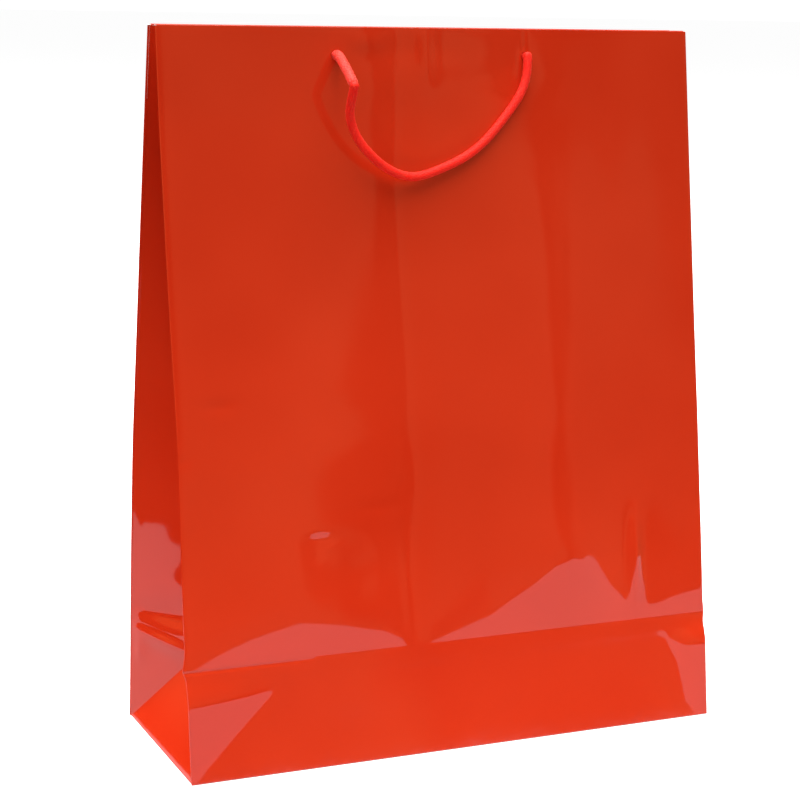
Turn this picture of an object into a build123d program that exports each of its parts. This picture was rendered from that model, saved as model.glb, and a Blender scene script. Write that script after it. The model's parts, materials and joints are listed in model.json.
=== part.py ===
"""Laminated paper gift bag, standing open by a finger's width, with two cord handles.

The bag is one folded sheet. Its panels are separate solids because they move about
their creases. +X runs along the front, +Y to the back, +Z up. The origin is the
centre of the base, on the surface that the bag stands on. Millimetres.
"""
from build123d import *
from math import atan, cos, radians, sin, sqrt, tan
import os

os.makedirs("parts", exist_ok=True)

# ---- driving dimensions ----
WIDTH = 320.0               # across the front
DEPTH = 120.0               # base, front to back
TOP = 398.5                 # height of the mouth's edge, the walls lean so it is under the 400 cut
PAPER = 0.3                 # laminated paper
CARD = 0.8                  # reinforcement card inside the mouth's hem
BOARD = 1.2                 # loose base board
HEM_HEIGHT = 40.0           # how far the mouth's edge is turned in
CARD_HEIGHT = 35.0
CORD = 4.5                  # handle cord diameter
HOLE_RADIUS = 2.6           # punched handle holes
HOLE_DOWN = 15.5            # holes below the mouth's edge
HOLES = (-59.5, 55.0)       # x of the left and right hole
CREASE_Z = 60.5             # the horizontal crease, half the depth above the base
FOLD_GAP = 0.35             # bare paper left at a fold between two solids
HINGE_GAP = 0.45            # between a wall and the gusset half that turns against it

# outer surface of each wall above the crease, as (y, z) up one edge
FRONT_WALL = [(-51.0, CREASE_Z), (-42.3, 135.0), (-34.0, 198.0), (-18.6, 290.0), (-1.6, TOP)]
BACK_WALL = [(56.5, CREASE_Z), (50.5, 155.0), (28.8, 302.0), (14.0, TOP)]

HALF_WIDTH = WIDTH / 2
HALF_DEPTH = DEPTH / 2
LAYERS = PAPER + CARD + PAPER           # panel, card and hem at the mouth


def wall_y(wall, z):
    """The y of a wall's outer surface at height z."""
    for (y0, z0), (y1, z1) in zip(wall[:-1], wall[1:]):
        if z <= z1:
            return y0 + (y1 - y0) * (z - z0) / (z1 - z0)
    return wall[-1][0]


def mouth_plane(wall, outward):
    """Plane on a wall's outer surface: origin at the mouth's edge, local y up the wall."""
    (y0, z0), (y1, z1) = wall[-2:]
    lean = atan(abs(y1 - y0) / (z1 - z0))
    normal = (0, outward * cos(lean), sin(lean))
    return Plane(origin=(0, y1, z1), x_dir=(-outward, 0, 0), z_dir=normal)


FRONT = mouth_plane(FRONT_WALL, -1)     # local x is +X
BACK = mouth_plane(BACK_WALL, 1)        # local x is -X


def save(part, name):
    part.label = name
    export_step(part, f"parts/{name}.step")


# ---- base: two end flaps folded in first, then the back and the front flap glued over them ----
FLAP = HALF_DEPTH + 22.0                # each long flap reaches past the middle
END_FLAP = 82.0


def long_flap(name, side, z):
    """Front (side -1) or back (side 1) flap, a trapezoid with 45 degree ends."""
    start = HALF_DEPTH - PAPER - FOLD_GAP
    with BuildPart() as flap:
        with BuildSketch(Plane.XY.offset(z)):
            with BuildLine():
                Polyline((-HALF_WIDTH + PAPER, side * start), (HALF_WIDTH - PAPER, side * start),
                         (HALF_WIDTH - FLAP, side * (start - FLAP)),
                         (FLAP - HALF_WIDTH, side * (start - FLAP)), close=True)
            make_face()
        extrude(amount=PAPER)
    save(flap.part, name)


def end_flap(name, side):
    """Left (side -1) or right (side 1) end flap, innermost."""
    with BuildPart() as flap:
        with BuildSketch(Plane.XY.offset(2 * PAPER)):
            with Locations((side * (HALF_WIDTH - PAPER - END_FLAP / 2), 0)):
                Rectangle(END_FLAP, DEPTH - 2 * (PAPER + FOLD_GAP))
        extrude(amount=PAPER)
    save(flap.part, name)


long_flap("base_flap_front", -1, 0.0)
long_flap("base_flap_back", 1, PAPER)
end_flap("base_flap_left", -1)
end_flap("base_flap_right", 1)

# ---- loose base board, lying on the flaps inside ----
BOARD_LENGTH = WIDTH - 6.0
BOARD_DEPTH = DEPTH - 5.0
with BuildPart() as board:
    with BuildSketch(Plane.XY.offset(3 * PAPER + 0.05)):
        RectangleRounded(BOARD_LENGTH, BOARD_DEPTH, 2.0)
    extrude(amount=BOARD)
save(board.part, "base_board")


# ---- walls ----
def wall_panel(name, points, inward):
    """A panel as wide as the bag: a line in the YZ plane, thickened inward and extruded."""
    inner = [(y + inward * PAPER, z) for y, z in reversed(points)]
    with BuildPart() as panel:
        with BuildSketch(Plane.YZ):
            with BuildLine():
                Polyline(*points, *inner, close=True)
            make_face()
        extrude(amount=HALF_WIDTH, both=True)
    return panel.part


def lower_panel(name, wall, inward):
    """The panel below the crease, which stays with the base."""
    crease_y = wall[0][0]
    foot_y = -inward * HALF_DEPTH
    points = [(foot_y, 0.0), (crease_y, CREASE_Z - 0.2)]
    save(wall_panel(name, points, inward), name)


def upper_panel(name, wall, inward, plane):
    """The panel above the crease, with the two handle holes punched through."""
    points = [(wall[0][0], CREASE_Z + 0.3)] + wall[1:]
    blank = wall_panel(name, points, inward)
    with BuildPart() as panel:
        add(blank)
        punch(plane, PAPER)
    save(panel.part, name)


def punch(plane, depth):
    """Cut both handle holes to a depth of paper below the wall's outer surface."""
    with BuildSketch(plane.offset(1.0)) as holes:
        with Locations(*[hole_place(plane, x) for x in HOLES]):
            Circle(HOLE_RADIUS)
    extrude(holes.sketch, amount=-(depth + 2.0), mode=Mode.SUBTRACT)


def hole_place(plane, x):
    """A hole's centre in a wall's own coordinates, for a hole at x on the bag."""
    return (x * plane.x_dir.X, -HOLE_DOWN)


lower_panel("front_panel_lower", FRONT_WALL, 1)
lower_panel("back_panel_lower", BACK_WALL, -1)
upper_panel("front_panel", FRONT_WALL, 1, FRONT)
upper_panel("back_panel", BACK_WALL, -1, BACK)

# glue flap of the side seam, inside the back panel's right edge
SEAM_WIDTH = 16.0
SEAM_TOP = 355.0
with BuildPart() as seam:
    seam_line = [(wall_y(BACK_WALL, z) - PAPER, z) for z in (62.0, 155.0, 302.0, SEAM_TOP)]
    seam_inner = [(y - PAPER, z) for y, z in reversed(seam_line)]
    with BuildSketch(Plane.YZ.offset(HALF_WIDTH - SEAM_WIDTH - 0.5)):
        with BuildLine():
            Polyline(*seam_line, *seam_inner, close=True)
        make_face()
    extrude(amount=SEAM_WIDTH)
save(seam.part, "side_seam_flap")

# ---- mouth: card under a turned-in hem ----
HEM_WIDTH = WIDTH - 20.0                # clear of the folded gussets


def strip(plane, depth, top, bottom, thickness):
    """A band along the mouth, from depth inwards, between two distances below its edge."""
    with BuildSketch(plane.offset(-depth)) as band:
        with Locations((0, -(top + bottom) / 2)):
            Rectangle(HEM_WIDTH, bottom - top)
    extrude(band.sketch, amount=-thickness)


def mouth_card(name, plane):
    with BuildPart() as card:
        strip(plane, PAPER, PAPER, CARD_HEIGHT, CARD)
        punch(plane, LAYERS)
    save(card.part, name)


def mouth_hem(name, plane):
    with BuildPart() as hem:
        strip(plane, PAPER, 0.0, PAPER, CARD)
        strip(plane, PAPER + CARD, 0.0, HEM_HEIGHT, PAPER)
        punch(plane, LAYERS)
    save(hem.part, name)


mouth_card("front_card", FRONT)
mouth_card("back_card", BACK)
mouth_hem("front_hem", FRONT)
mouth_hem("back_hem", BACK)

# ---- gussets below the crease: three flat facets on each side ----
APEX = (133.3, 2.3, 54.0)               # where the centre fold meets the two diagonals


def facet(name, corners):
    """A flat triangle of paper, pulled back from its folds and thickened into the bag."""
    a, b, c = [Vector(*corner) for corner in corners]
    normal = (b - a).cross(c - a).normalized()
    if normal.dot(Vector(0, 0, 100) - a) < 0:
        normal = normal * -1
    plane = Plane(origin=a, x_dir=b - a, z_dir=normal)
    local = [plane.to_local_coords(corner) for corner in (a, b, c)]
    with BuildPart() as panel:
        with BuildSketch(plane):
            with BuildLine():
                Polyline(*[(corner.X, corner.Y) for corner in local], close=True)
            make_face()
            offset(amount=-FOLD_GAP)
        extrude(amount=PAPER)
    save(panel.part, name)


def lower_gusset(side_name, side):
    edge = side * (HALF_WIDTH - PAPER)
    apex = (side * APEX[0], APEX[1], APEX[2])
    foot = HALF_DEPTH - 1.0
    foot_z = 1.2
    crease_z = CREASE_Z - 0.5
    front_foot = (edge, -foot, foot_z)
    back_foot = (edge, foot, foot_z)
    front_crease = (edge, FRONT_WALL[0][0] + 0.8, crease_z)
    back_crease = (edge, BACK_WALL[0][0] - 0.8, crease_z)
    facet(f"gusset_{side_name}_triangle", [front_foot, back_foot, apex])
    facet(f"gusset_{side_name}_lower_front", [front_foot, front_crease, apex])
    facet(f"gusset_{side_name}_lower_back", [back_foot, back_crease, apex])


lower_gusset("left", -1)
lower_gusset("right", 1)

# ---- gussets above the crease: a front and a back half on each side, folded inward ----
HALF_GUSSET = HALF_DEPTH                # edge to centre fold, on the paper
GUSSET_SOLID = 48.0                     # the solid stops short of the centre fold, which stays open
GUSSET_LEVELS = (62.0, 110.0, 155.0, 200.0, 250.0, 302.0, 350.0, TOP)


def gusset_section(wall, other, side, z):
    """Four corners of a gusset half at height z: wall edge, tip, and both again, thickened."""
    edge_y = wall_y(wall, z)
    half_gap = abs(wall_y(other, z) - edge_y) / 2
    inward = 1 if wall is FRONT_WALL else -1
    fold_in = sqrt(HALF_GUSSET ** 2 - half_gap ** 2)
    start = Vector(side * (HALF_WIDTH - FOLD_GAP), edge_y + inward * (PAPER + HINGE_GAP), 0)
    fold = Vector(side * (HALF_WIDTH - fold_in), edge_y + inward * half_gap, 0)
    along = (fold - start).normalized()
    tip = start + along * GUSSET_SOLID
    across = Vector(-along.Y, along.X, 0)
    if across.Y * inward < 0:
        across = across * -1
    thick = across * PAPER
    return [start, tip, tip + thick, start + thick]


def gusset_half(name, wall, other, side):
    with BuildPart() as half:
        for z in GUSSET_LEVELS:
            with BuildSketch(Plane.XY.offset(z)):
                with BuildLine():
                    section = gusset_section(wall, other, side, z)
                    Polyline(*[(corner.X, corner.Y) for corner in section], close=True)
                make_face()
        loft(ruled=True)
    save(half.part, name)


for side_name, side in (("left", -1), ("right", 1)):
    gusset_half(f"gusset_{side_name}_front", FRONT_WALL, BACK_WALL, side)
    gusset_half(f"gusset_{side_name}_back", BACK_WALL, FRONT_WALL, side)

# ---- handle cords: knots inside, tubes outside ----
KNOT_RADIUS = 5.2
KNOT_THICKNESS = 6.6
CORD_START = 0.35           # the outside cord starts just past the end of the knot's own stub


def knot(name, plane, x):
    """The flattened knot inside the hem, and the cord through the hole up to the surface."""
    place = hole_place(plane, x)
    with BuildPart() as end:
        with BuildSketch(plane.offset(-LAYERS - 0.05)):
            with Locations(place):
                Circle(KNOT_RADIUS)
        extrude(amount=-KNOT_THICKNESS)
        fillet(end.edges(), KNOT_THICKNESS * 0.45)
        with BuildSketch(plane.offset(-LAYERS - KNOT_THICKNESS / 2)):
            with Locations(place):
                Circle(CORD / 2)
        extrude(amount=LAYERS + KNOT_THICKNESS / 2 - CORD_START)
    save(end.part, name)


for side_name, x in (("left", HOLES[0]), ("right", HOLES[1])):
    knot(f"front_knot_{side_name}", FRONT, x)
    knot(f"back_knot_{side_name}", BACK, x)


def on_wall(plane, x, down, out):
    """A point beside a wall: x on the bag, distance below the mouth's edge, distance out."""
    return plane.from_local_coords(Vector(x * plane.x_dir.X, -down, out))


def cord_radii(points):
    """The largest arc that each corner's two runs allow: 0.45 of the shorter run."""
    radii = []
    for before, corner, after in zip(points[:-2], points[1:-1], points[2:]):
        run_in = corner - before
        run_out = after - corner
        turn = radians(run_in.get_angle(run_out))
        radii.append(0.45 * min(run_in.length, run_out.length) / tan(turn / 2))
    return radii


def cord(name, plane, route, ball_ends):
    """A cord of straight runs and tangent arcs, rounded at the ends that it swings on."""
    points = [on_wall(plane, *stop) for stop in route]
    radii = cord_radii(points)
    with BuildPart() as tube:
        with BuildLine() as path:
            FilletPolyline(*points, radius=radii)
        with BuildSketch(Plane(origin=path.line @ 0, z_dir=path.line % 0)):
            Circle(CORD / 2)
        sweep()
        if ball_ends:
            with Locations(points[0], points[-1]):
                Sphere(CORD / 2)
    length = sum(edge.length for edge in path.edges())
    print(name, "length", round(length, 1), "radii", [round(r, 1) for r in radii])
    print(name, "volume", round(tube.part.volume), "section x length", round(CORD**2 * 0.7854 * length))
    save(tube.part, name)


# Each stop is (x, down from the mouth's edge, out from the wall), to the cord's centre.
# The front cord stands out from its left hole to a kink, then drops back to the wall.
FRONT_LEAD = [
    (-59.5, 15.5, 0.05), (-59.6, 15.8, 2.8), (-59.9, 18.6, 7.4), (-60.5, 25.0, 16.2),
    (-61.1, 33.4, 26.0),
]
FRONT_LOOP = [
    (-61.2, 35.2, 28.2), (-61.0, 41.3, 23.0), (-60.1, 48.8, 16.2), (-56.7, 57.2, 12.3),
    (-51.4, 65.2, 10.6), (-43.7, 72.3, 8.8), (-36.7, 77.0, 6.6), (-28.9, 80.5, 4.8),
    (-20.8, 82.2, 3.5), (-12.4, 81.6, 3.0), (-1.6, 78.0, 3.1), (7.8, 74.4, 3.0),
    (16.8, 69.8, 3.1), (25.8, 63.4, 3.0), (34.0, 55.3, 3.1), (41.4, 47.2, 3.0),
    (48.2, 38.9, 3.1), (52.4, 31.4, 3.0), (54.5, 23.4, 3.1), (55.0, 15.5, 3.0),
]
# The back cord hangs flat against its wall, even on both sides.
BACK_LOOP = [
    (-59.5, 15.5, 3.0), (-60.4, 24.6, 3.1), (-59.6, 34.6, 3.0), (-56.6, 45.4, 3.1),
    (-51.2, 56.0, 3.0), (-43.2, 66.2, 3.1), (-32.6, 74.8, 3.0), (-19.6, 80.8, 3.1),
    (-6.4, 82.9, 3.0), (6.6, 82.0, 3.1), (19.2, 77.6, 3.0), (31.0, 70.0, 3.1),
    (40.6, 60.6, 3.0), (48.2, 50.0, 3.1), (53.2, 38.6, 3.0), (55.2, 26.8, 3.1),
    (55.0, 15.5, 3.0),
]
cord("front_handle_lead", FRONT, FRONT_LEAD, False)
cord("front_handle_cord", FRONT, FRONT_LOOP, True)
cord("back_handle_cord", BACK, BACK_LOOP, True)
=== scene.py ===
"""Looks of the laminated paper gift bag: folded paper shells, braided cords and a pale studio."""
import json
import math

import bmesh
import bpy
import numpy as np
from mathutils import Matrix, Vector


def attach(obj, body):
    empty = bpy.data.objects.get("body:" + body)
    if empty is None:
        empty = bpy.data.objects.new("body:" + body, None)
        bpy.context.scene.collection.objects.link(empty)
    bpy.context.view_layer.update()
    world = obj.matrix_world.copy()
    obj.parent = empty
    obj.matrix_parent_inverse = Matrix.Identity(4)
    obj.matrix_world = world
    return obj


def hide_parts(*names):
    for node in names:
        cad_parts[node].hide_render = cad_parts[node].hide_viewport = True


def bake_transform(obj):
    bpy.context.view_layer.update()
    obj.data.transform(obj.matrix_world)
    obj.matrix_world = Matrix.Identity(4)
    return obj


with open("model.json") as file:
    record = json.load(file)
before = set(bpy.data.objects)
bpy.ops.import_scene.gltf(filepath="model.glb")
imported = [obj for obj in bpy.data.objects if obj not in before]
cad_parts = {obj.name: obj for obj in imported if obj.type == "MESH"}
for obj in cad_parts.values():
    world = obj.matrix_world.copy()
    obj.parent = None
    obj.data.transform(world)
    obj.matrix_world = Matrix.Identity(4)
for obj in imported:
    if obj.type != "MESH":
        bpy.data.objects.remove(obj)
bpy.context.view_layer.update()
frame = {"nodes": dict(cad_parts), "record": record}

MM = 0.001

# ---- the bag's own sizes, in millimetres ----
LEFT, RIGHT = -160.0, 160.0
HALF_DEPTH = 60.0
TOP = 398.5
CREASE_Z = 60.5
CREASE_Y = -49.8            # the front crease, behind the front edge of the base
PAPER = 0.3
CARD = 0.8
SPACE = 0.1                 # left between two sheets that lie on each other
HEM_HEIGHT = 40.0
LAYERS = PAPER + CARD + PAPER
CORD = 4.5
HOLE_DOWN = 15.5
HOLES = (-59.5, 55.0)
HOLE_RADIUS = 2.6
APEX = np.array((133.3, 2.3, 54.0))     # where the right centre fold meets the two diagonal folds


# ---- camera ----
CAMERA_PLACE = (-0.47237, -1.04268, 0.40924)
CAMERA_LENS = 91.61


def make_camera():
    """A long lens from the front left, a little above the bag's mouth, looking down 11 degrees."""
    yaw, pitch, roll = math.radians(23.61), math.radians(10.92), math.radians(0.99)
    ahead = Vector((math.sin(yaw) * math.cos(pitch), math.cos(yaw) * math.cos(pitch), -math.sin(pitch)))
    level = Vector((math.cos(yaw), -math.sin(yaw), 0.0))
    above = level.cross(ahead)
    right = level * math.cos(roll) + above * math.sin(roll)
    up = above * math.cos(roll) - level * math.sin(roll)
    data = bpy.data.cameras.new("camera")
    data.sensor_width = 36.0
    data.lens = CAMERA_LENS
    camera = bpy.data.objects.new("camera", data)
    turn = Matrix((right, up, -ahead)).transposed().to_4x4()
    camera.matrix_world = Matrix.Translation(CAMERA_PLACE) @ turn
    bpy.context.scene.collection.objects.link(camera)
    bpy.context.scene.camera = camera


# ---- the sheet's shape ----
# Each edge line is (z, y): how far back or forward the fold stands at that height.
FRONT_LEFT = ((CREASE_Z, CREASE_Y), (102, -45.4), (134, -42.8), (166, -40.5), (198, -35.8),
              (229, -29.4), (290, -18.1), (352, -7.2), (TOP, -1.0))
FRONT_RIGHT = ((CREASE_Z, CREASE_Y), (106, -44.6), (177, -35.5), (282, -20.2), (TOP, -2.4))
BACK_LEFT = ((CREASE_Z, 56.5), (128, 52.1), (164, 49.2), (200, 43.9), (302, 28.8), (TOP, 14.0))
BACK_RIGHT = ((CREASE_Z, 56.5), (150, 50.8), (302, 28.8), (TOP, 14.0))
SAMPLES = np.linspace(CREASE_Z, TOP, 400)


def smooth_line(points, spread=9.0):
    """A line through (z, y) points with its corners eased, as y at each of SAMPLES."""
    z = np.array([p[0] for p in points])
    y = np.array([p[1] for p in points])
    step = SAMPLES[1] - SAMPLES[0]
    reach = int(3 * spread / step)
    first = (y[1] - y[0]) / (z[1] - z[0])
    last = (y[-1] - y[-2]) / (z[-1] - z[-2])
    before = y[0] + first * step * np.arange(-reach, 0)
    after = y[-1] + last * step * np.arange(1, reach + 1)
    line = np.concatenate([before, np.interp(SAMPLES, z, y), after])
    kernel = np.exp(-0.5 * (np.arange(-reach, reach + 1) * step / spread) ** 2)
    return np.convolve(line, kernel / kernel.sum(), mode="valid")


LINES = {"front_left": smooth_line(FRONT_LEFT), "front_right": smooth_line(FRONT_RIGHT),
         "back_left": smooth_line(BACK_LEFT), "back_right": smooth_line(BACK_RIGHT)}


def edge_y(name, z):
    return np.interp(z, SAMPLES, LINES[name])


def bump(x, z, centre, size, height):
    """A soft round dent or bulge."""
    return height * np.exp(-0.5 * (((x - centre[0]) / size[0]) ** 2 + ((z - centre[1]) / size[1]) ** 2))


def grid_lookup(xs, field, x, z, zs=None):
    """Bilinear reading of a field over xs and heights."""
    zs = SAMPLES if zs is None else zs
    u = np.clip((np.asarray(x) - xs[0]) / (xs[1] - xs[0]), 0, len(xs) - 1.001)
    v = np.clip((np.asarray(z) - zs[0]) / (zs[1] - zs[0]), 0, len(zs) - 1.001)
    i, j = u.astype(int), v.astype(int)
    a, b = u - i, v - j
    return ((1 - a) * (1 - b) * field[j, i] + a * (1 - b) * field[j, i + 1]
            + (1 - a) * b * field[j + 1, i] + a * b * field[j + 1, i + 1])


def flat_wall(front, x, z):
    """A wall drawn straight across between its two edge lines."""
    t = (x - LEFT) / (RIGHT - LEFT)
    return (1 - t) * edge_y(front + "_left", z) + t * edge_y(front + "_right", z)


# The front wall swells just above the crease. Each (x, z) is where the swelling turns
# back into the leaning wall: two shallow lobes, one each side of the wall's middle, and a
# narrow ridge near the right edge.
SWELL = ((-160, 62), (-146, 70), (-122, 79), (-95, 85), (-70, 83), (-45, 75), (-33, 68), (-27.5, 54),
         (-24, 55), (-18, 63), (20, 71), (44, 83), (60, 95), (70, 99), (80, 96), (96, 80), (108, 71),
         (112, 88), (114.5, 104), (117, 88), (121, 69), (132, 70), (145, 75), (160, 78))
SWELL_EASE = 9.0            # height over which the swelling turns


def swell_height(x):
    return np.interp(x, [p[0] for p in SWELL], [p[1] for p in SWELL])


def turning_lean(z):
    """The slope at which the swelling turns, less the higher it reaches."""
    return np.tan(np.radians(6.8 - 0.066 * (z - CREASE_Z)))


def smooth_upwards(field):
    """The same field, evened out across the wall above the swelling so that no ridge runs on upwards."""
    reach = 60
    kernel = np.exp(-0.5 * (np.arange(-reach, reach + 1) / 22.0) ** 2)
    padded = np.pad(field, ((0, 0), (reach, reach)), mode="edge")
    even = np.stack([np.convolve(row, kernel / kernel.sum(), mode="valid") for row in padded])
    share = np.clip((SAMPLES - 96) / 40, 0, 1)[:, None]
    share = share * share * (3 - 2 * share)
    return field * (1 - share) + even * share


# Soft dents (inwards, so positive) and bulges of the front wall: (x, z), sizes and depth.
FRONT_DENTS = (
    ((-136, 199), (7, 2.0), 0.55), ((-48, 138.5), (10, 1.1), 0.42), ((-80, 124), (7, 1.8), 0.42),
    ((-158, 171), (3, 1.5), 0.45), ((55, 391), (1.0, 7), 0.45), ((49, 378), (8, 10), 0.45),
    ((-84, 118), (4, 5), 0.30), ((-62, 104), (15, 12), 0.6), ((-30, 115), (7, 16), 0.5),
    ((-10, 386), (26, 6), 0.5), ((32, 373), (22, 8), 0.45), ((-26, 367), (18, 9), -0.4),
    ((75, 352), (30, 22), 0.5), ((-110, 330), (30, 40), 0.5), ((20, 330), (34, 24), -0.5),
    ((110, 160), (14, 60), 0.5), ((134, 120), (7, 40), -0.25), ((90, 190), (10, 24), 0.3),
    ((-6, 386), (3.5, 9), -0.8), ((-41, 391), (9, 4), -0.6), ((-2, 352), (22, 16), 0.6),
)


def make_front_field():
    """The front wall's outer surface as y on a grid of x and SAMPLES."""
    xs = np.linspace(LEFT, RIGHT, 641)
    xx, zz = np.meshgrid(xs, SAMPLES)
    base = flat_wall("front", xx, zz)
    lean = np.gradient(base, SAMPLES, axis=0)
    top = swell_height(xs)
    turn = turning_lean(top)
    spare = np.array([np.interp(top[k], SAMPLES, lean[:, k]) for k in range(len(xs))]) - turn
    share = 1 - np.tanh((zz - top) / SWELL_EASE)
    steeper = np.maximum(0.022 - spare, 0) * np.exp(-((zz - top) / 28) ** 2)
    less = spare * share - steeper * np.tanh((zz - top) / SWELL_EASE)
    step = SAMPLES[1] - SAMPLES[0]
    swell = np.cumsum(less, axis=0) * step
    fade = 1 - np.clip((zz - 110) / (TOP - 110), 0, 1) ** 1.5 * 0.9
    y = base - smooth_upwards(swell) * fade
    # a shallow upright groove near the middle, and the wall's long bulge right of it
    y += 0.55 * np.exp(-((xx + 24) / 11.0) ** 2) * np.clip((zz - 70) / 60, 0, 1)
    rise = np.sin(np.pi * (zz - CREASE_Z) / (TOP - CREASE_Z))
    y -= 1.6 * np.cos(np.pi * np.clip(np.abs(xx - 60) / 110, 0, 1)) * rise
    # the paper eases back towards the fold at the left edge
    y += 0.3 * (np.clip((-156.5 - xx) / 3.5, 0, 1)) ** 2 * np.clip((zz - 150) / 60, 0, 1)
    for centre, size, height in FRONT_DENTS:
        y += bump(xx, zz, centre, size, height)
    return xs, y


FRONT_XS, FRONT_FIELD = make_front_field()


def front_y(x, z):
    """The front wall's outer surface above the crease."""
    return grid_lookup(FRONT_XS, FRONT_FIELD, x, z)


# Two bulges low on the back wall and two dents above them: (x, z), sizes and height.
BACK_BUMPS = (((60, 96), (60, 22), 0.9), ((-70, 90), (50, 16), 0.7),
              ((-30, 300), (40, 50), -0.5), ((90, 220), (26, 60), -0.5))


def back_y(x, z):
    """The back wall's outer surface above the crease."""
    rise = np.sin(np.pi * np.clip((z - CREASE_Z) / (TOP - CREASE_Z), 0, 1))
    y = flat_wall("back", x, z) + 1.4 * rise * np.cos(np.pi * x / (RIGHT - LEFT))
    for centre, size, height in BACK_BUMPS:
        y = y + bump(x, z, centre, size, height)
    return y


def soft_step(value, width):
    return 0.5 + 0.5 * np.tanh(value / width)


FOOT_DENTS = (((-66, 40), (14, 9), -0.12), ((24, 34), (12, 12), -0.05))
FOOT_ROUND = 0.5            # radius of the fold round the base's edge


def make_foot_field():
    """The front wall below the crease: it leans most at the base, with a flatter facet at each end."""
    xs = np.linspace(LEFT, RIGHT, 641)
    zs = np.linspace(0, CREASE_Z, 243)
    xx, zz = np.meshgrid(xs, zs)
    lean = np.radians(11.3 - 3.3 * zz / CREASE_Z)
    # left facet: from the base's corner out to x -113, under z 44; right facet: the last 28 mm
    in_from_left = xx - LEFT
    left = soft_step(zz - 3 - in_from_left * 0.86, 2.0) * soft_step(41 + in_from_left * 0.06 - zz, 2.0)
    right = soft_step(xx - np.interp(zz, (0, 9, 34, 52), (158, 149, 142, 131)), 2.0) * soft_step(52 - zz, 2.0)
    facet = np.radians(3.4) * (left + right)
    slope = np.tan(lean - facet)
    step = zs[1] - zs[0]
    y = -HALF_DEPTH + np.cumsum(slope, axis=0) * step
    y += (CREASE_Y - y[-1]) * soft_step(zz - 50, 5.0) / soft_step(CREASE_Z - 50, 5.0)
    # the shallow groove under the crease's left end
    y += 0.45 * np.exp(-((zz - 59.2) / 0.9) ** 2) * np.clip((-85 - xx) / 25, 0, 1)
    for centre, size, height in FOOT_DENTS:
        y += bump(xx, zz, centre, size, height) * np.sin(np.pi * zz / CREASE_Z) ** 0.5
    return xs, zs, y


FOOT_XS, FOOT_ZS, FOOT_FIELD = make_foot_field()


def foot_y(side, x, z):
    """The outer surface below the crease, side -1 for the front. It leans in from the base's edge."""
    under = np.clip(FOOT_ROUND - z, 0, FOOT_ROUND)
    tuck = FOOT_ROUND - np.sqrt(FOOT_ROUND ** 2 - under ** 2)
    if side < 0:
        return grid_lookup(FOOT_XS, FOOT_FIELD, x, z, FOOT_ZS) + tuck
    t = z / CREASE_Z
    return HALF_DEPTH - 3.5 * t + 0.6 * np.sin(np.pi * t) * np.cos(np.pi * x / 140.0) - tuck


def upper_angle(side, z):
    """Angle at a wall's upright edge between the wall and the gusset folded in behind it."""
    name = "left" if side < 0 else "right"
    gap = (edge_y("back_" + name, z) - edge_y("front_" + name, z)) / 2
    return float(np.arcsin(np.clip(gap / HALF_DEPTH, 0, 1)))


def lower_angle(side, _):
    """The lower walls keep the angle of the crease at every height."""
    return upper_angle(side, CREASE_Z)


def centre_fold(side, z):
    """The gusset's centre fold: x set by the paper's own width, y midway between the walls."""
    name = "left" if side < 0 else "right"
    front = edge_y("front_" + name, z)
    back = edge_y("back_" + name, z)
    half_gap = (back - front) / 2
    fold_in = np.sqrt(np.maximum(HALF_DEPTH ** 2 - half_gap ** 2, 0))
    return side * (RIGHT - fold_in), (front + back) / 2


# ---- mesh helpers ----
MATERIALS = {}


def link(name, mesh):
    """Adds an object to the scene."""
    piece = bpy.data.objects.new(name, mesh)
    bpy.context.scene.collection.objects.link(piece)
    return piece


def grid_normals(points):
    """Unit normals of a grid of points, rows then columns."""
    rows = np.gradient(points, axis=0)
    columns = np.gradient(points, axis=1)
    normal = np.cross(columns, rows)
    return normal / np.maximum(np.linalg.norm(normal, axis=2, keepdims=True), 1e-9)


def paper(name, points, outward, outside="paper", inside="lining", thickness=PAPER, keep=None, rim="paper"):
    """A sheet of paper from a grid of points in millimetres on its outer surface.

    outward is a direction on the outside. keep drops the cells that it says False for, and leaves
    a raw cut edge round them. rim is the look of the sheet's own borders.
    """
    points = np.asarray(points, float)
    rows, columns = points.shape[:2]
    normal = grid_normals(points)
    flip = np.mean(normal @ np.asarray(outward, float)) < 0
    back = points - (-normal if flip else normal) * thickness
    corners = np.concatenate([points.reshape(-1, 3), back.reshape(-1, 3)]) * MM
    count = rows * columns
    if keep is None:
        keep = np.ones((rows - 1, columns - 1), bool)
    faces = []
    slots = []
    for i in range(rows - 1):
        for j in range(columns - 1):
            if not keep[i, j]:
                continue
            a, b = i * columns + j, i * columns + j + 1
            c, d = (i + 1) * columns + j + 1, (i + 1) * columns + j
            quad = (a, b, c, d)
            if flip:
                quad = quad[::-1]
            faces.append(quad)
            slots.append(0)
            faces.append(tuple(count + k for k in quad[::-1]))
            slots.append(1)
            sides = ((i == 0, i - 1, j, a, b), (j == columns - 2, i, j + 1, b, c),
                     (i == rows - 2, i + 1, j, c, d), (j == 0, i, j - 1, d, a))
            for border, near_i, near_j, p, q in sides:
                if border or not keep[near_i, near_j]:
                    strip = (q, p, count + p, count + q)
                    faces.append(strip[::-1] if flip else strip)
                    slots.append(3 if border else 2)
    mesh = bpy.data.meshes.new(name)
    mesh.from_pydata(corners.tolist(), [], faces)
    for slot_name in (outside, inside, "paper_edge", rim):
        mesh.materials.append(MATERIALS[slot_name])
    mesh.polygons.foreach_set("material_index", slots)
    mesh.polygons.foreach_set("use_smooth", [True] * len(faces))
    mesh.validate()
    drop_loose(mesh)
    mesh.set_sharp_from_angle(angle=math.radians(50))
    return link(name, mesh)


def drop_loose(mesh):
    """Removes the points that no face uses."""
    work = bmesh.new()
    work.from_mesh(mesh)
    bmesh.ops.delete(work, geom=[v for v in work.verts if not v.link_faces], context="VERTS")
    work.to_mesh(mesh)
    work.free()


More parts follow.
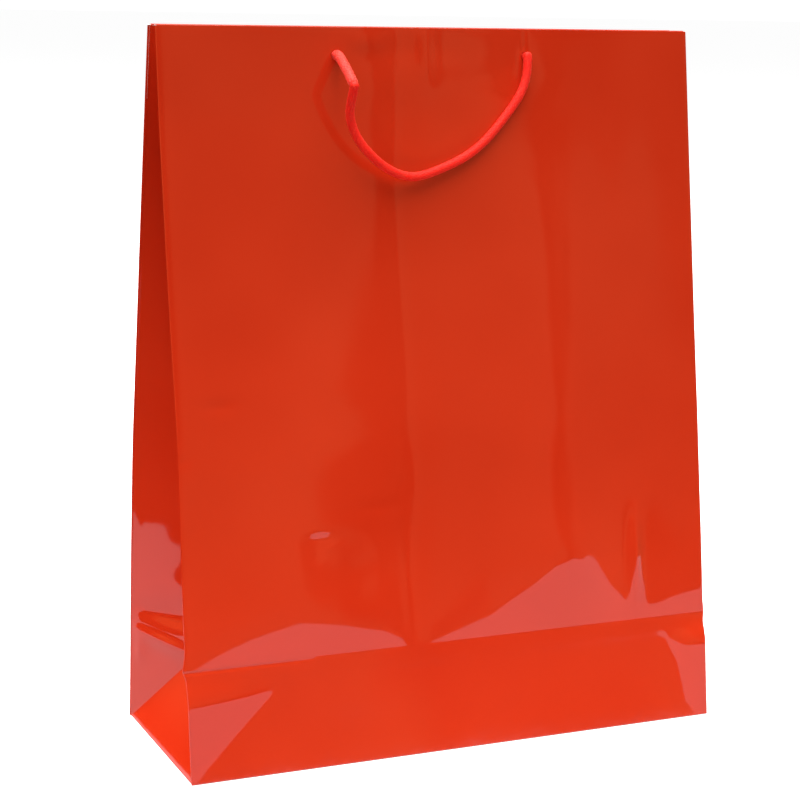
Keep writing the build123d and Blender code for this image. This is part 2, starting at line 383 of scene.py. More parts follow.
def seat(piece, body, slot_name, *nodes):
    """Puts a piece on its body and hides the designed nodes that it replaces. slot_name is not used."""
    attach(piece, body)
    if nodes:
        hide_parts(*nodes)


# ---- materials ----
def new_material(name):
    material = bpy.data.materials.new(name)
    material.use_nodes = True
    tree = material.node_tree
    shader = tree.nodes["Principled BSDF"]
    MATERIALS[name] = material
    return tree, shader


def add_node(tree, kind, **values):
    node = tree.nodes.new(kind)
    for key, value in values.items():
        if key in node.inputs:
            node.inputs[key].default_value = value
        else:
            setattr(node, key, value)
    return node


def noise(tree, scale, detail):
    place = add_node(tree, "ShaderNodeTexCoord")
    texture = add_node(tree, "ShaderNodeTexNoise", Scale=scale, Detail=detail)
    tree.links.new(place.outputs["Object"], texture.inputs["Vector"])
    return texture.outputs["Fac"]


def colour_mix(tree, fac, low, high, start=0.35, end=0.65):
    ramp = add_node(tree, "ShaderNodeValToRGB")
    ramp.color_ramp.elements[0].position = start
    ramp.color_ramp.elements[0].color = (*low, 1)
    ramp.color_ramp.elements[1].position = end
    ramp.color_ramp.elements[1].color = (*high, 1)
    tree.links.new(fac, ramp.inputs["Fac"])
    return ramp.outputs["Color"]


def bump_from(tree, height, strength, distance):
    node = add_node(tree, "ShaderNodeBump", Strength=strength, Distance=distance)
    tree.links.new(height, node.inputs["Height"])
    return node.outputs["Normal"]


def make_materials():
    # glossy laminated printed paper
    tree, shader = new_material("paper")
    shader.inputs["Roughness"].default_value = 0.035
    shader.inputs["IOR"].default_value = 1.5
    tree.links.new(colour_mix(tree, noise(tree, 9.0, 2.0), (0.520, 0.022, 0.0045), (0.560, 0.028, 0.0065)),
                   shader.inputs["Base Color"])
    tree.links.new(bump_from(tree, noise(tree, 55.0, 2.0), 0.05, 0.0004), shader.inputs["Normal"])
    # bare white paper inside
    tree, shader = new_material("lining")
    shader.inputs["Roughness"].default_value = 0.85
    tree.links.new(colour_mix(tree, noise(tree, 900.0, 4.0), (0.80, 0.79, 0.76), (0.88, 0.87, 0.84)),
                   shader.inputs["Base Color"])
    tree.links.new(bump_from(tree, noise(tree, 1400.0, 3.0), 0.25, 0.0001), shader.inputs["Normal"])
    # cut edge of the sheet
    tree, shader = new_material("paper_edge")
    shader.inputs["Roughness"].default_value = 0.8
    tree.links.new(colour_mix(tree, noise(tree, 700.0, 3.0), (0.72, 0.30, 0.24), (0.86, 0.72, 0.68)),
                   shader.inputs["Base Color"])
    # grey board
    tree, shader = new_material("grey_board")
    shader.inputs["Roughness"].default_value = 0.9
    tree.links.new(colour_mix(tree, noise(tree, 1200.0, 6.0), (0.40, 0.37, 0.33), (0.60, 0.57, 0.52)),
                   shader.inputs["Base Color"])
    tree.links.new(bump_from(tree, noise(tree, 1500.0, 4.0), 0.4, 0.0001), shader.inputs["Normal"])
    # braided cord, and a paler, pinker copy for the first length at the first hole: a painted highlight
    for name, low, high in (("cord", (0.95, 0.014, 0.008), (1.0, 0.032, 0.014)),
                            ("cord_painted_highlight", (0.95, 0.030, 0.022), (1.0, 0.085, 0.060))):
        tree, shader = new_material(name)
        shader.inputs["Roughness"].default_value = 0.6
        shader.inputs["Specular IOR Level"].default_value = 0.2
        shader.inputs["Subsurface Weight"].default_value = 0.6
        shader.inputs["Subsurface Radius"].default_value = (0.004, 0.0006, 0.0004)
        shader.inputs["Subsurface Scale"].default_value = 1.0
        shader.inputs["Sheen Weight"].default_value = 0.45
        shader.inputs["Sheen Tint"].default_value = (1.0, 0.16, 0.08, 1)
        shader.inputs["Sheen Roughness"].default_value = 0.4
        tree.links.new(colour_mix(tree, noise(tree, 1500.0, 3.0), low, high), shader.inputs["Base Color"])
        tree.links.new(bump_from(tree, noise(tree, 2500.0, 2.0), 0.25, 0.00015), shader.inputs["Normal"])


# ---- walls ----
FOLD = 0.5                  # radius of the upright folds
PAST = 1.2                  # how far a wall's sheet runs on past the fold, as the hinge of the gusset
BEHIND = 5.0                # how far it then runs on behind the gusset, to keep the fold shut
EAR = 1.5                   # how far the front left corner is pinched out at the crease


def pinch(side, z):
    """The small ear at the front left end of the crease, sharp below it and softer above."""
    away = (z - CREASE_Z) / (6.0 if z > CREASE_Z else 3.5)
    return (0.7 if side > 0 else EAR) * np.exp(-away ** 2)


def fold_arc(side, outward, x_edge, y_edge, angle, turn):
    """A point on the rounded fold at a wall's edge, turn from 0 on the wall to 1 on the gusset."""
    sweep = turn * (math.pi - angle)
    x = x_edge - side * FOLD * (1 - math.sin(sweep))
    y = y_edge - outward * FOLD * (1 - math.cos(sweep))
    return x, y


def past_fold(side, outward, x_edge, y_edge, angle):
    """Where the wall's own sheet stops, a little way past its rounded fold."""
    x, y = fold_arc(side, outward, x_edge, y_edge, angle, 1.0)
    return x - side * PAST * math.cos(angle), y - outward * PAST * math.sin(angle)


def behind_gusset(side, outward, x_edge, y_edge, angle, z):
    """The last points of the wall's sheet, which steps in behind the gusset, less so at the mouth."""
    x, y = fold_arc(side, outward, x_edge, y_edge, angle, 1.0)
    points = [(*past_fold(side, outward, x_edge, y_edge, angle), z)]
    share = min(1.0, max(0.0, (TOP - 3.0 - z) / 6.0))
    for reach, depth in ((PAST + 0.05 + 0.35 * share, share * (PAPER + 0.15)),
                         (PAST + 0.10 + BEHIND * share, share * (PAPER + 0.6))):
        points.append((x - side * (reach * math.cos(angle) + depth * math.sin(angle)),
                       y - outward * (reach * math.sin(angle) - depth * math.cos(angle)), z))
    return points


def fold_edge(side, outward, z):
    """How far out an upright fold stands at a height, as x."""
    return side * (RIGHT + (pinch(side, z) if outward < 0 else 0.0))


def rounded_end(side, outward, surface, angle, z, arc=9):
    """The points past the end of a wall's row: round the upright fold, then in behind the gusset."""
    edge = fold_edge(side, outward, z)
    edge_at = float(surface(side * (RIGHT - FOLD), z))
    points = [(*fold_arc(side, outward, edge, edge_at, angle, k / arc), z) for k in range(1, arc + 1)]
    return points + behind_gusset(side, outward, edge, edge_at, angle, z)


def wall_grid(outward, surface, heights, angle_at, columns):
    """Rows of points across a wall, rounded round both upright folds."""
    rows = []
    for z in heights:
        row = rounded_end(-1, outward, surface, angle_at(-1, z), z)[::-1]
        for t in columns:
            x = LEFT + FOLD + (RIGHT - LEFT - 2 * FOLD) * t
            near = pinch(-1, z) * math.exp(-t * 40) - pinch(1, z) * math.exp(-(1 - t) * 40)
            row.append((x - (near if outward < 0 else 0.0), float(surface(x, z)), z))
        rows.append(row + rounded_end(1, outward, surface, angle_at(1, z), z))
    return rows


def finer(values, centres, reach, step):
    """Evenly spaced values with finer ones added near the centres."""
    near = [np.arange(c - reach, c + reach + step / 2, step) for c in centres]
    far = [v for v in values if all(abs(v - c) > reach + 0.3 * step for c in centres)]
    return np.sort(np.concatenate([far, *near]))


def mouth_roll(rows, outward, radius):
    """Adds the rounded fold over the mouth's edge, turning inwards from the last row."""
    last = rows[-1]
    size = [radius * min(1.0, 0.4 + 0.6 * max(0.0, RIGHT - FOLD - abs(p[0])) / 3.0) for p in last]
    # next to nothing on the points behind the gusset, growing round the upright fold
    for k in range(12):
        for end in (k, len(size) - 1 - k):
            size[end] *= min(1.0, 0.08 + max(0, k - 3) / 8)
    added = []
    for turn in np.linspace(0, math.pi, 9)[1:]:
        added.append([(x, y - outward * r * (1 - math.cos(turn)), z + r * math.sin(turn))
                      for (x, y, z), r in zip(last, size)])
    return rows + added


def punch(points, outward):
    """Moves the points at a handle hole's rim onto its circle, and says which cells to keep round it."""
    points = np.array(points, float)
    up = mouth_frame(outward)[1]
    hole_z = TOP - HOLE_DOWN * up.z
    x, z = points[:, :, 0], points[:, :, 2]
    keep = np.ones((points.shape[0] - 1, points.shape[1] - 1), bool)
    for hole_x in HOLES:
        across, along = x - hole_x, (z - hole_z) / up.z
        far = np.hypot(across, along)
        middle = (far[:-1, :-1] + far[1:, :-1] + far[:-1, 1:] + far[1:, 1:]) / 4
        gone = middle < HOLE_RADIUS
        keep &= ~gone
        touch_gone = np.zeros(far.shape, bool)
        touch_kept = np.zeros(far.shape, bool)
        for i, j in ((0, 0), (0, 1), (1, 0), (1, 1)):
            rows = slice(i, far.shape[0] - 1 + i)
            columns = slice(j, far.shape[1] - 1 + j)
            touch_gone[rows, columns] |= gone
            touch_kept[rows, columns] |= ~gone
        rim = touch_gone & touch_kept
        grow = HOLE_RADIUS / far[rim]
        points[:, :, 0][rim] = hole_x + across[rim] * grow
        points[:, :, 2][rim] = hole_z + along[rim] * grow * up.z
    return points, keep


COLUMNS = (finer(np.linspace(LEFT, RIGHT, 161), HOLES, 5.0, 0.4) - LEFT) / (RIGHT - LEFT)
MOUTH_LEAN = 0.988          # the cosine of the walls' lean at the mouth
HOLE_Z = TOP - HOLE_DOWN * MOUTH_LEAN
MOUTH_ROLL = LAYERS / 2
SEAM_ACROSS = (143.5, 158.6)
SEAM_UP = (62.0, 355.0)


def make_walls():
    heights = np.concatenate([np.linspace(CREASE_Z, CREASE_Z + 60, 50)[:-1],
                              np.linspace(CREASE_Z + 60, TOP - MOUTH_ROLL, 120)])
    heights = finer(heights, (HOLE_Z,), 5.0, 0.4)
    for name, outward, surface in (("front", -1, front_y), ("back", 1, back_y)):
        points = mouth_roll(wall_grid(outward, surface, heights, upper_angle, COLUMNS), outward, MOUTH_ROLL)
        points, keep = punch(points, outward)
        piece = paper(f"{name}_panel_sheet", points, (0, outward, 0), keep=keep)
        seat(piece, f"{name}_wall", "paper", f"{name}_panel")
    heights = np.concatenate([np.linspace(0, FOOT_ROUND, 6)[:-1], np.linspace(FOOT_ROUND, CREASE_Z, 121)])
    for side, name in ((-1, "front"), (1, "back")):
        rows = wall_grid(side, lambda x, z: foot_y(side, x, z), heights, lower_angle, np.linspace(0, 1, 201))
        piece = paper(f"{name}_panel_lower_sheet", rows, (0, side, 0))
        seat(piece, "box", "paper", f"{name}_panel_lower")
    # the glue flap of the side seam, on the back wall's inner face
    rows = [[(x, float(back_y(x, z)) - PAPER - SPACE, z) for x in np.linspace(*SEAM_ACROSS, 12)]
            for z in np.linspace(*SEAM_UP, 80)]
    piece = paper("side_seam_flap_sheet", rows, (0, 1, 0), rim="paper_edge")
    seat(piece, "back_wall", "paper", "side_seam_flap")


# ---- gussets ----
def gusset_edge(side, outward, z):
    """Where a gusset half leaves the rounded fold of its wall."""
    surface = front_y if outward < 0 else back_y
    y = float(surface(side * (RIGHT - FOLD), z))
    return past_fold(side, outward, fold_edge(side, outward, z), y, upper_angle(side, z))


# Soft dents of the gusset halves: how far across from the wall's fold, height, sizes and depth.
# On the right-hand back half they sit RIGHT_DENTS_UP higher.
RIGHT_DENTS_UP = 26.0
GUSSET_DENTS = (
    (0.28, 126, 0.14, 8, 0.09), (0.50, 118, 0.12, 6, -0.07),
    (0.60, 69, 0.26, 6.0, -1.70), (0.20, 65, 0.26, 4.0, -0.95), (0.72, 126, 0.30, 18, 0.85),
    (0.40, 250, 0.50, 30, 0.40), (0.30, 320, 0.30, 24, -0.30),
)


def gusset_bow(side, outward, across, up, z):
    """How far a gusset half stands out from its flat, in millimetres, less near its four edges."""
    bow = 0.9 * math.sin(math.pi * across) * math.sin(math.pi * min(up * 1.1, 1.0))
    hold = min(1.0, 6 * across + 0.25) * min(1.0, 5 * (1 - across))
    hold *= min(1.0, 40 * up) * min(1.0, 8 * (1 - up))
    shift = 0.0 if side < 0 else RIGHT_DENTS_UP
    for where, height, wide, tall, depth in GUSSET_DENTS:
        away = ((across - where) / wide) ** 2 + ((z - height - shift * (outward > 0)) / tall) ** 2
        bow += depth * hold * math.exp(-0.5 * away)
    return bow


def gusset_point(side, outward, across, up):
    """A point on a gusset half: across from the wall's fold to the centre fold, up from the crease."""
    low = CREASE_Z + (APEX[2] - CREASE_Z) * across
    top = TOP - GUSSET_ROLL
    z = low + (top - low) * up
    level = max(z, CREASE_Z)
    edge_x, edge_depth = gusset_edge(side, outward, level)
    fold_x, fold_depth = centre_fold(side, level)
    low_share = math.exp(-(z - APEX[2]) / 20)
    fold_x += (side * APEX[0] - centre_fold(side, CREASE_Z)[0]) * low_share
    fold_depth += (APEX[1] - centre_fold(side, CREASE_Z)[1]) * low_share
    bow = gusset_bow(side, outward, across, max(up, 0.0), z)
    return (edge_x * (1 - across) + float(fold_x) * across + side * bow,
            edge_depth * (1 - across) + float(fold_depth) * across, z)


GUSSET_ROLL = 0.4           # radius of the fold over the mouth's edge at the gussets
HEM_SHARE = HEM_HEIGHT / (TOP - CREASE_Z)
UNDERLAP = 13.0             # how far the front half runs on past the centre fold, most of all low down
UNDERLAP_HEIGHT = 120.0     # where it runs on furthest
UNDERLAP_SPREAD = 50.0      # how quickly it narrows above and below that


def sunk(rows, outward, depth):
    """The same grid of points, moved inwards from its outer side by depth."""
    points = np.array(rows, float)
    normal = grid_normals(points)
    if np.mean(normal @ np.asarray(outward, float)) < 0:
        normal = -normal
    return points - normal * depth


def follow_gusset(piece):
    """Bakes the piece's placement into its mesh."""
    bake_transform(piece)


def past_centre(row):
    """A row of the front half, run on past the centre fold inside the bag to keep it shut when open."""
    end = np.array(row[-1])
    along = end - np.array(row[-2])
    along /= np.linalg.norm(along)
    reach = PAPER + UNDERLAP * math.exp(-((end[2] - UNDERLAP_HEIGHT) / UNDERLAP_SPREAD) ** 2)
    return row + [tuple(end + along * reach * share) for share in np.linspace(0.25, 1, 4)]


def gusset_rows(side, outward, across, up):
    """A grid of points on a gusset half, rows going up."""
    return [[gusset_point(side, outward, a, u) for a in across] for u in up]


def gusset_roll(rows, side):
    """Adds the rounded fold over the mouth's edge to the gusset's rows."""
    last = np.array(rows[-1])
    turn = sunk(rows, (side, 0, 0), 1.0)[-1] - last
    added = [last + turn * GUSSET_ROLL * (1 - math.cos(angle)) + (0, 0, GUSSET_ROLL * math.sin(angle))
             for angle in np.linspace(0, math.pi, 7)[1:]]
    return rows + added


def make_gussets():
    spread = np.linspace(0, 1, 41)
    for name, side in (("left", -1), ("right", 1)):
        outside = (side, 0, 0)
        for part, outward in (("front", -1), ("back", 1)):
            half = f"gusset_{name}_{part}"
            rows = gusset_rows(side, outward, spread, np.linspace(0, 1, 150))
            if outward < 0:
                rows = [past_centre(row) for row in rows]
            piece = paper(f"{half}_sheet", gusset_roll(rows, side), outside)
            follow_gusset(piece)
            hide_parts(half)
            # the hem turned in along the mouth
            rows = gusset_rows(side, outward, spread, np.linspace(1 - HEM_SHARE, 1, 24))
            rows = sunk(rows, outside, 2 * GUSSET_ROLL - PAPER)
            piece = paper(f"{half}_hem", rows, outside, inside="paper")
            follow_gusset(piece)
            # a strip of paper behind the crease, fixed to the base
            rows = gusset_rows(side, outward, np.linspace(0.10, 0.98, 30), np.linspace(-0.012, 0.03, 8))
            piece = paper(f"{half}_crease_backing", sunk(rows, outside, PAPER + SPACE), outside)
            seat(piece, "box", "paper")


def fan(start_line, end_line, count=25):
    """Rows of points between two lines that start at the same corner."""
    return [[(1 - t) * np.array(a) + t * np.array(b) for t in np.linspace(0, 1, count)]
            for a, b in zip(start_line, end_line)]


def foot_edge(side, outward, z):
    """Where a lower wall's rounded end stops, at height z."""
    y = float(foot_y(outward, side * (RIGHT - FOLD), z))
    return (*past_fold(side, outward, fold_edge(side, outward, z), y, lower_angle(side, z)), z)


def swell_lower_gusset(rows, side, outward):
    """Bulges the lower gusset half: near the back wall's edge, and again just below the crease."""
    if outward > 0:
        far = ((rows[:, :, 2] - 44) / 6.0) ** 2 + ((np.abs(rows[:, :, 0]) - 157.5) / 2.2) ** 2
        eased = np.linspace(0, 1, 24).clip(0, 0.15) / 0.15
        rows[:, 1:, 0] += side * 0.9 * np.exp(-0.5 * far[:, 1:]) * eased
    in_from_edge = RIGHT - np.abs(rows[:, :, 0])
    crease = CREASE_Z - in_from_edge * (CREASE_Z - APEX[2]) / (RIGHT - APEX[0])
    below = crease - rows[:, :, 2]
    far = ((in_from_edge - 14) / 9.0) ** 2 + ((below - 5) / 4.5) ** 2
    edges = np.clip(below / 5, 0, 1) * np.clip(in_from_edge / 3, 0, 1)
    rows[:, :, 0] += side * 1.4 * np.exp(-0.5 * far) * edges


def make_lower_gussets():
    steps = np.linspace(0, 1, 122)
    for name, side in (("left", -1), ("right", 1)):
        apex = APEX * (side, 1, 1)
        front_foot = np.array(foot_edge(side, -1, 0.0))
        back_foot = np.array(foot_edge(side, 1, 0.0))
        to_apex = {-1: [front_foot + (apex - front_foot) * t for t in steps],
                   1: [back_foot + (apex - back_foot) * t for t in steps]}
        piece = paper(f"gusset_{name}_triangle_sheet", fan(to_apex[-1], to_apex[1]), (side, 0, 0.3))
        seat(piece, "box", "paper", f"gusset_{name}_triangle")
        for outward, part in ((-1, "front"), (1, "back")):
            up_edge = [foot_edge(side, outward, CREASE_Z * t) for t in steps]
            rows = np.array(fan(up_edge, to_apex[outward]))
            swell_lower_gusset(rows, side, outward)
            piece = paper(f"gusset_{name}_lower_{part}_sheet", rows, (side, 0, 0))
            seat(piece, "box", "paper", f"gusset_{name}_lower_{part}")


FLAP_END = 158.7            # the base flaps stop just inside the triangles
FLAP_DEPTH = 82.0
SIDE_FLAP_HALF = 59.3       # half the width of the two side flaps


def make_base():
    """The glued flaps under the base board, red below and white above."""
    deep = np.linspace(0, 1, 30)
    for name, side, z in (("front", -1, 0.0), ("back", 1, PAPER)):
        rows = []
        for t in deep:
            half = FLAP_END - FLAP_DEPTH * t
            y = side * (HALF_DEPTH - FOOT_ROUND + 0.1 - FLAP_DEPTH * t)
            rows.append([(x, y, z) for x in np.linspace(-half, half, 60)])
        seat(paper(f"base_flap_{name}_sheet", rows, (0, 0, -1)), "box", "paper", f"base_flap_{name}")
    for name, side in (("left", -1), ("right", 1)):
        rows = [[(x, y, 2 * PAPER) for x in np.linspace(side * FLAP_END, side * (RIGHT - FLAP_DEPTH), 30)]
                for y in np.linspace(-SIDE_FLAP_HALF, SIDE_FLAP_HALF, 40)]
        seat(paper(f"base_flap_{name}_sheet", rows, (0, 0, -1)), "box", "paper", f"base_flap_{name}")


# ---- mouth ----
CARD_REACH, HEM_REACH = 156.0, 159.0    # how far the cards and hems go to each side
CARD_DOWN = (1.0, 35.0)                 # where the cards start and stop below the mouth's edge
HEM_DOWN = (MOUTH_ROLL, HEM_HEIGHT)


def lining_strip(name, wall, depth, reach, down, thickness, looks):
    """A band inside a wall's mouth, following the wall at a depth, with the two handle holes."""
    outward, surface = wall
    x = finer(np.linspace(-reach, reach, 161), HOLES, 5.0, 0.4)
    down = finer(np.linspace(*down, 27), (HOLE_DOWN,), 5.0, 0.4)
    up = mouth_frame(outward)[1]
    rows = []
    for d in down:
        z = TOP - d * up.z
        rows.append([(xx, float(surface(xx, z)) - outward * depth, z) for xx in x])
    points, keep = punch(rows, outward)
    return paper(name, points, (0, -outward, 0), outside=looks, inside=looks, thickness=thickness,
                 keep=keep, rim="paper_edge")


def make_mouth():
    for name, wall in (("front", (-1, front_y)), ("back", (1, back_y))):
        piece = lining_strip(f"{name}_card_board", wall, PAPER + SPACE + CARD, CARD_REACH, CARD_DOWN, CARD,
                             "grey_board")
        seat(piece, f"{name}_wall", "card", f"{name}_card")
        piece = lining_strip(f"{name}_hem_sheet", wall, LAYERS + 0.02, HEM_REACH, HEM_DOWN, PAPER, "paper")
        seat(piece, f"{name}_wall", "paper", f"{name}_hem")


# ---- cords ----
def mouth_frame(outward):
    """Origin, up and outward directions of a wall's surface at the mouth, as designed."""
    if outward < 0:
        y1, slope = -1.6, (18.6 - 1.6) / (TOP - 290.0)
    else:
        y1, slope = 14.0, (28.8 - 14.0) / (TOP - 302.0)
    lean = math.atan(slope)
    return (Vector((0, y1, TOP)), Vector((0, -outward * math.sin(lean), math.cos(lean))),
            Vector((0, outward * math.cos(lean), math.sin(lean))))


def on_wall(outward, stop):
    """A point beside a wall, from x, distance below the mouth's edge and distance out."""
    origin, up, out = mouth_frame(outward)
    x, down, off = stop
    return (origin + Vector((x, 0, 0)) - up * down + out * off) * MM


LEAD_SPREAD = 1.1           # the first length of cord is slacker, so a little wider
# The routes: x, distance below the mouth's edge and distance out from the wall.
FRONT_LEAD = [
    (-59.5, 15.5, 0.05), (-59.6, 15.8, 2.8), (-59.9, 18.6, 7.4), (-60.5, 25.0, 16.2),
    (-61.1, 33.4, 26.0),
]
FRONT_LOOP = [
    (-61.2, 35.2, 28.2), (-61.0, 41.3, 23.0), (-60.1, 48.8, 16.2), (-56.7, 57.2, 12.3),
    (-51.4, 65.2, 10.6), (-43.7, 72.3, 8.8), (-36.7, 77.0, 6.6), (-28.9, 80.5, 4.8),
    (-20.8, 82.2, 3.5), (-12.4, 81.6, 3.0), (-1.6, 78.0, 3.1), (7.8, 74.4, 3.0),
    (16.8, 69.8, 3.1), (25.8, 63.4, 3.0), (34.0, 55.3, 3.1), (41.4, 47.2, 3.0),
    (48.2, 38.9, 3.1), (52.4, 31.4, 3.0), (54.5, 23.4, 3.1), (55.0, 15.5, 3.0),
]
BACK_LOOP = [
    (-59.5, 15.5, 3.0), (-60.4, 24.6, 3.1), (-59.6, 34.6, 3.0), (-56.6, 45.4, 3.1),
    (-51.2, 56.0, 3.0), (-43.2, 66.2, 3.1), (-32.6, 74.8, 3.0), (-19.6, 80.8, 3.1),
    (-6.4, 82.9, 3.0), (6.6, 82.0, 3.1), (19.2, 77.6, 3.0), (31.0, 70.0, 3.1),
    (40.6, 60.6, 3.0), (48.2, 50.0, 3.1), (53.2, 38.6, 3.0), (55.2, 26.8, 3.1),
    (55.0, 15.5, 3.0),
]


def spline_points(route, steps=24):
    """Points along the smooth NURBS line that has the route as its control points."""
    curve = bpy.data.curves.new("route", "CURVE")
    curve.dimensions = "3D"
    curve.resolution_u = steps
    line = curve.splines.new("NURBS")
    line.points.add(len(route) - 1)
    for point, place in zip(line.points, route):
        point.co = (*place, 1.0)
    line.order_u = 3
    line.use_endpoint_u = True
    holder = link("route", curve)
    mesh = bpy.data.meshes.new_from_object(holder)
    points = np.array([v.co for v in mesh.vertices])
    bpy.data.objects.remove(holder)
    return points


def even_points(points, step):
    """The same line with evenly spaced points."""
    gaps = np.linalg.norm(np.diff(points, axis=0), axis=1)
    along = np.concatenate([[0], np.cumsum(gaps)])
    count = max(int(along[-1] / step), 8)
    places = np.linspace(0, along[-1], count)
    return np.stack([np.interp(places, along, points[:, k]) for k in range(3)], axis=1), along[-1]


BRAID_STEP = 0.35           # between two rings of points along a cord


def braid(name, route, thick=CORD, material="cord"):
    """A round braid of sixteen strands along a route, as one mesh."""
    points, length = even_points(spline_points(route), BRAID_STEP * MM)
    tangent = np.gradient(points, axis=0)
    tangent /= np.linalg.norm(tangent, axis=1, keepdims=True)
    side = np.zeros_like(points)
    start = np.cross(tangent[0], (1.0, 0.2, 0.3))
    side[0] = start / np.linalg.norm(start)
    for k in range(1, len(points)):
        turned = side[k - 1] - tangent[k] * (side[k - 1] @ tangent[k])
        side[k] = turned / np.linalg.norm(turned)
    other = np.cross(tangent, side)
    around = 64
    angle = np.linspace(0, 2 * math.pi, around, endpoint=False)
    along = np.linspace(0, length, len(points))
    strands = 8
    pitch = 16.0 * MM
    aa, ss = np.meshgrid(angle, along)
    one = strands * (aa / (2 * math.pi) + ss / pitch)
    two = strands * (aa / (2 * math.pi) - ss / pitch)
    rib_one = np.abs(np.cos(math.pi * one)) ** 0.7
    rib_two = np.abs(np.cos(math.pi * two)) ** 0.7
    over = 0.5 + 0.5 * np.sin(math.pi * (one + two) / 2) * np.sign(np.cos(math.pi * (one - two) / 2))
    height = over * rib_one + (1 - over) * rib_two
    radius = thick / 2 * MM * (0.95 + 0.17 * height)
    ring = (points[:, None, :] + radius[:, :, None]
            * (np.cos(aa)[:, :, None] * side[:, None, :] + np.sin(aa)[:, :, None] * other[:, None, :]))
    verts = ring.reshape(-1, 3).tolist()
    faces = []
    for k in range(len(points) - 1):
        for j in range(around):
            n = (j + 1) % around
            faces.append((k * around + j, k * around + n, (k + 1) * around + n, (k + 1) * around + j))
    dome = 5
    for k, cap in ((0, -1), (len(points) - 1, 1)):
        last = [k * around + j for j in range(around)]
        for level in range(1, dome):
            lift = math.sin(level / dome * math.pi / 2)
            shrink = math.cos(level / dome * math.pi / 2)
            centre = points[k] + tangent[k] * cap * thick / 2 * MM * lift * 0.98
            now = []
            for j in range(around):
                now.append(len(verts))
                verts.append((centre + (ring[k, j] - points[k]) * shrink).tolist())
            for j in range(around):
                n = (j + 1) % around
                quad = (last[j], last[n], now[n], now[j])
                faces.append(quad if cap > 0 else quad[::-1])
            last = now
        tip = len(verts)
        verts.append((points[k] + tangent[k] * cap * thick / 2 * MM * 0.98).tolist())
        for j in range(around):
            n = (j + 1) % around
            tri = (last[j], last[n], tip)
            faces.append(tri if cap > 0 else tri[::-1])
    mesh = bpy.data.meshes.new(name)
    mesh.from_pydata(verts, [], faces)
    mesh.materials.append(MATERIALS[material])
    mesh.polygons.foreach_set("use_smooth", [True] * len(faces))
    return link(name, mesh), points, length


def make_cords():
    for name, body, outward, stops, exit_stop, node in (
            ("front_handle_braid", "front_handle", -1, FRONT_LOOP, FRONT_LOOP[-1], "front_handle_cord"),
            ("front_handle_lead_braid", "front_wall", -1, FRONT_LEAD, FRONT_LEAD[0], "front_handle_lead"),
            ("back_handle_braid", "back_handle", 1, BACK_LOOP, BACK_LOOP[0], "back_handle_cord")):
        route = [on_wall(outward, stop) for stop in stops]
        # the lead out of the first hole takes the paler, pinker cord copy, a painted highlight
        painted_highlight_lead = node == "front_handle_lead"
        thick = CORD * LEAD_SPREAD if painted_highlight_lead else CORD
        piece, line, length = braid(name, route, thick, "cord_painted_highlight" if painted_highlight_lead else "cord")
        seat(piece, body, "cord", node)
        if node == "front_handle_cord":
            line = line[::-1]


KNOT_RING, KNOT_TURN = 3.2, 1.6     # radii of the knot's loops
KNOT_SQUEEZE = 0.84         # the cord is drawn tight in the knot, so a little thinner
# How far each cut tail leans sideways, and how far below the holes it ends.
TAIL = {("front", -59.5): (3.0, 19.0), ("front", 55.0): (-2.0, 22.0),
        ("back", -59.5): (-1.5, 20.0), ("back", 55.0): (2.5, 18.0)}


def knot_stops(x, lean, length):
    """An overhand knot behind a hole: in through the hole, three crossings, then the cut tail."""
    depth = LAYERS + KNOT_TURN + CORD * 0.45
    stops = [(x, HOLE_DOWN, -0.3), (x, HOLE_DOWN, -LAYERS - 0.6), (x - 1.0, HOLE_DOWN + 0.8, -LAYERS - 2.0)]
    for t in np.linspace(0.45, 2 * math.pi - 0.45, 21):
        ring = KNOT_RING + KNOT_TURN * math.cos(3 * t)
        stops.append((x - ring * math.sin(2 * t), HOLE_DOWN + ring * math.cos(2 * t),
                      -depth + KNOT_TURN * math.sin(3 * t)))
    stops.append((x + lean * 0.4, HOLE_DOWN + 8.5, -depth - 0.8))
    stops.append((x + lean, HOLE_DOWN + length, -depth + 1.2))
    return stops


def make_knots():
    for wall, outward in (("front", -1), ("back", 1)):
        for side, x in (("left", HOLES[0]), ("right", HOLES[1])):
            lean, length = TAIL[(wall, x)]
            route = [on_wall(outward, stop) for stop in knot_stops(x, lean, length)]
            piece = braid(f"{wall}_knot_{side}_braid", route, CORD * KNOT_SQUEEZE)[0]
            seat(piece, f"{wall}_wall", "cord", f"{wall}_knot_{side}")


# ---- studio ----
def flat_shape(name, corners, height, material):
    mesh = bpy.data.meshes.new(name)
    mesh.from_pydata([(x, y, height) for x, y in corners], [], [tuple(range(len(corners)))])
    mesh.materials.append(material)
    return link(name, mesh)


def area_light(name, place, aim, size, power):
    data = bpy.data.lights.new(name, "AREA")
    data.shape = "RECTANGLE"
    data.size, data.size_y = size
    data.energy = power
    lamp = bpy.data.objects.new(name, data)
    lamp.location = place
    lamp.rotation_mode = "QUATERNION"
    lamp.rotation_quaternion = (Vector(aim) - Vector(place)).to_track_quat("-Z", "Y")
    bpy.context.scene.collection.objects.link(lamp)
    return lamp


# Bands of the room from left to right: how far along, and how bright.
ROOM = ((0.30, (0.02, 0.006, 0.004)), (0.58, (0.03, 0.01, 0.006)), (0.63, (0.30, 0.20, 0.08)),
        (0.695, (0.40, 0.28, 0.12)), (0.712, (0.10, 0.03, 0.015)), (0.745, (0.12, 0.05, 0.02)),
        (0.775, (0.34, 0.23, 0.10)))


def calculate(tree, operation, *values, **settings):
    """A Math node fed with numbers or with other nodes' outputs."""
    node = add_node(tree, "ShaderNodeMath", operation=operation, **settings)
    for socket, value in zip(node.inputs, values):
        if isinstance(value, float):
            socket.default_value = value
        else:
            tree.links.new(value, socket)
    return node.outputs["Value"]


